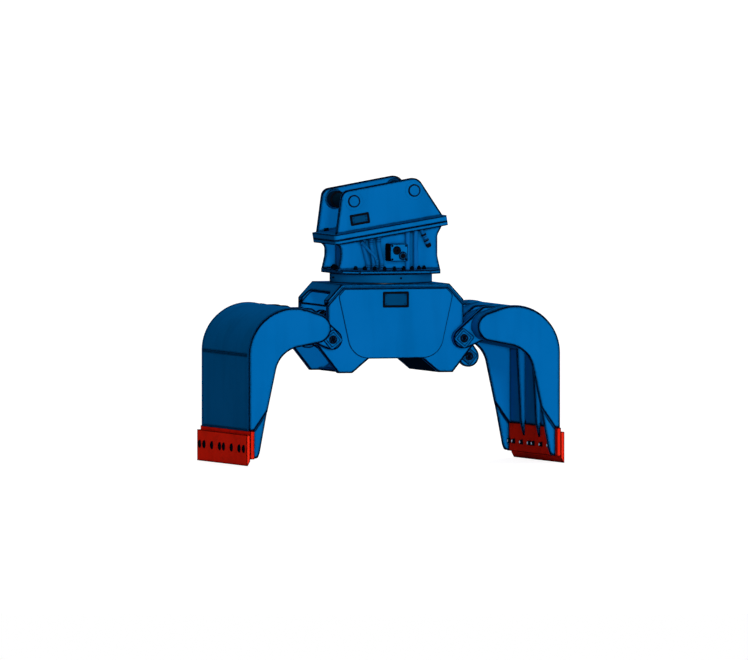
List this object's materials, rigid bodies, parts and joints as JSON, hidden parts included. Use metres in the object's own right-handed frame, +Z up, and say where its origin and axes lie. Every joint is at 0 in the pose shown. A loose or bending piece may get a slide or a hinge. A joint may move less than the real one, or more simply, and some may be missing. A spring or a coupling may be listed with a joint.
{
  "type": "demolition and sorting grapple",
  "caption": "Hydraulic two-jaw demolition and sorting grapple with a turning head, a tilted bracket with two pins, plated shells and bolted wear blades.",
  "frame": {"origin": "on the floor under the slewing axis, with the jaws open and the part standing on its blades", "axes": "+Z up along the slewing axis, +X towards the jaw whose tie rod pin shows, -Y towards the valve block"},
  "size_m": [2.344, 1.226, 1.9929],
  "materials": {
    "blue_paint": "blue machine paint",
    "lip_red": "dark red paint",
    "blade_red": "red paint on wear steel",
    "bolt_steel": "dark bolt steel",
    "pin_steel": "hardened pin steel, painted over at its ends",
    "rod_chrome": "ground chrome",
    "gear_steel": "cut gear steel, greased",
    "black_paint": "black machine paint",
    "pipe_steel": "zinc-plated pipe"
  },
  "bodies": {
    "housing": {"housing_front_plate": "blue_paint", "housing_rear_plate": "blue_paint", "housing_top_plate": "blue_paint", "housing_belly_plate": "blue_paint", "housing_end_bars": "blue_paint", "front_cover": "blue_paint", "rear_cover": "blue_paint", "ring_gear": "gear_steel", "swivel_core": "black_paint"},
    "head": {"slew_ring": "blue_paint", "head_flange": "blue_paint", "flange_bolts": "bolt_steel", "head_front_wall": "blue_paint", "head_rear_wall": "blue_paint", "head_end_plates": "blue_paint", "head_top_plate": "blue_paint", "bracket_base_plate": "blue_paint", "bracket_bolts": "bolt_steel", "bracket_front_cheek": "blue_paint", "bracket_rear_cheek": "blue_paint", "stick_pin": "pin_steel", "link_pin": "pin_steel", "rotation_motor": "black_paint", "swivel_body": "black_paint", "valve_block": "blue_paint", "drain_pipes": "pipe_steel"},
    "pinion": {"drive_pinion": "gear_steel"},
    "cylinder_barrels": {"cylinder_barrels": "black_paint", "cylinder_glands": "black_paint"},
    "cylinder_rods": {"cylinder_rods": "rod_chrome"},
    "tie_rod": {"tie_rod": "blue_paint"},
    "right_jaw": {"right_back_plate": "blue_paint", "right_blade_bolts": "bolt_steel", "right_cylinder_pin": "pin_steel", "right_front_side_plate": "blue_paint", "right_gussets": "blue_paint", "right_hinge_lugs": "blue_paint", "right_hub_tube": "pin_steel", "right_lip_plate": "lip_red", "right_pin_keepers": "pin_steel", "right_pivot_pin": "pin_steel", "right_rear_side_plate": "blue_paint", "right_ribs": "blue_paint", "right_shell": "blue_paint", "right_tie_rod_pin": "pin_steel", "right_wear_blade": "blade_red"},
    "left_jaw": {"left_back_plate": "blue_paint", "left_blade_bolts": "bolt_steel", "left_cylinder_pins": "pin_steel", "left_front_side_plate": "blue_paint", "left_gussets": "blue_paint", "left_hinge_lugs": "blue_paint", "left_hub_tube": "pin_steel", "left_lip_plate": "lip_red", "left_pin_keepers": "pin_steel", "left_pivot_pin": "pin_steel", "left_rear_side_plate": "blue_paint", "left_ribs": "blue_paint", "left_shell": "blue_paint", "left_wear_blade": "blade_red"}
  },
  "joints": [
    {"name": "head_swivel", "type": "hinge", "parent": "housing", "child": "head", "pos_m": [0, 0, 1.256], "axis": [0, 0, 1], "continuous": true},
    {"name": "pinion_spin", "type": "hinge", "parent": "head", "child": "pinion", "pos_m": [0.208, 0, 1.27], "axis": [0, 0, 1], "continuous": true},
    {"name": "right_jaw_hinge", "type": "hinge", "parent": "housing", "child": "right_jaw", "pos_m": [0.479, 0, 0.873], "axis": [0, 1, 0], "range_deg": [0, 63.2]},
    {"name": "left_jaw_hinge", "type": "hinge", "parent": "housing", "child": "left_jaw", "pos_m": [-0.479, 0, 0.873], "axis": [0, 1, 0], "range_deg": [-63.2, 0]},
    {"name": "barrel_hinge", "type": "hinge", "parent": "left_jaw", "child": "cylinder_barrels", "pos_m": [-0.378, 0, 1.007], "axis": [0, 1, 0], "range_deg": [0, 63.2]},
    {"name": "rod_hinge", "type": "hinge", "parent": "right_jaw", "child": "cylinder_rods", "pos_m": [0.378, 0, 1.007], "axis": [0, 1, 0], "range_deg": [-63.2, 0]},
    {"name": "tie_rod_hinge", "type": "hinge", "parent": "right_jaw", "child": "tie_rod", "pos_m": [0.58, 0, 0.739], "axis": [0, 1, 0], "range_deg": [-59.4, 0]}
  ],
  "couplings": [
    {"joint": "pinion_spin", "follows": "head_swivel", "ratio": -5.3333},
    {"joint": "left_jaw_hinge", "follows": "right_jaw_hinge", "ratio": -1},
    {"joint": "barrel_hinge", "follows": "right_jaw_hinge", "ratio": 1},
    {"joint": "rod_hinge", "follows": "right_jaw_hinge", "ratio": -1},
    {"joint": "tie_rod_hinge", "follows": "right_jaw_hinge", "ratio": -0.94}
  ]
}
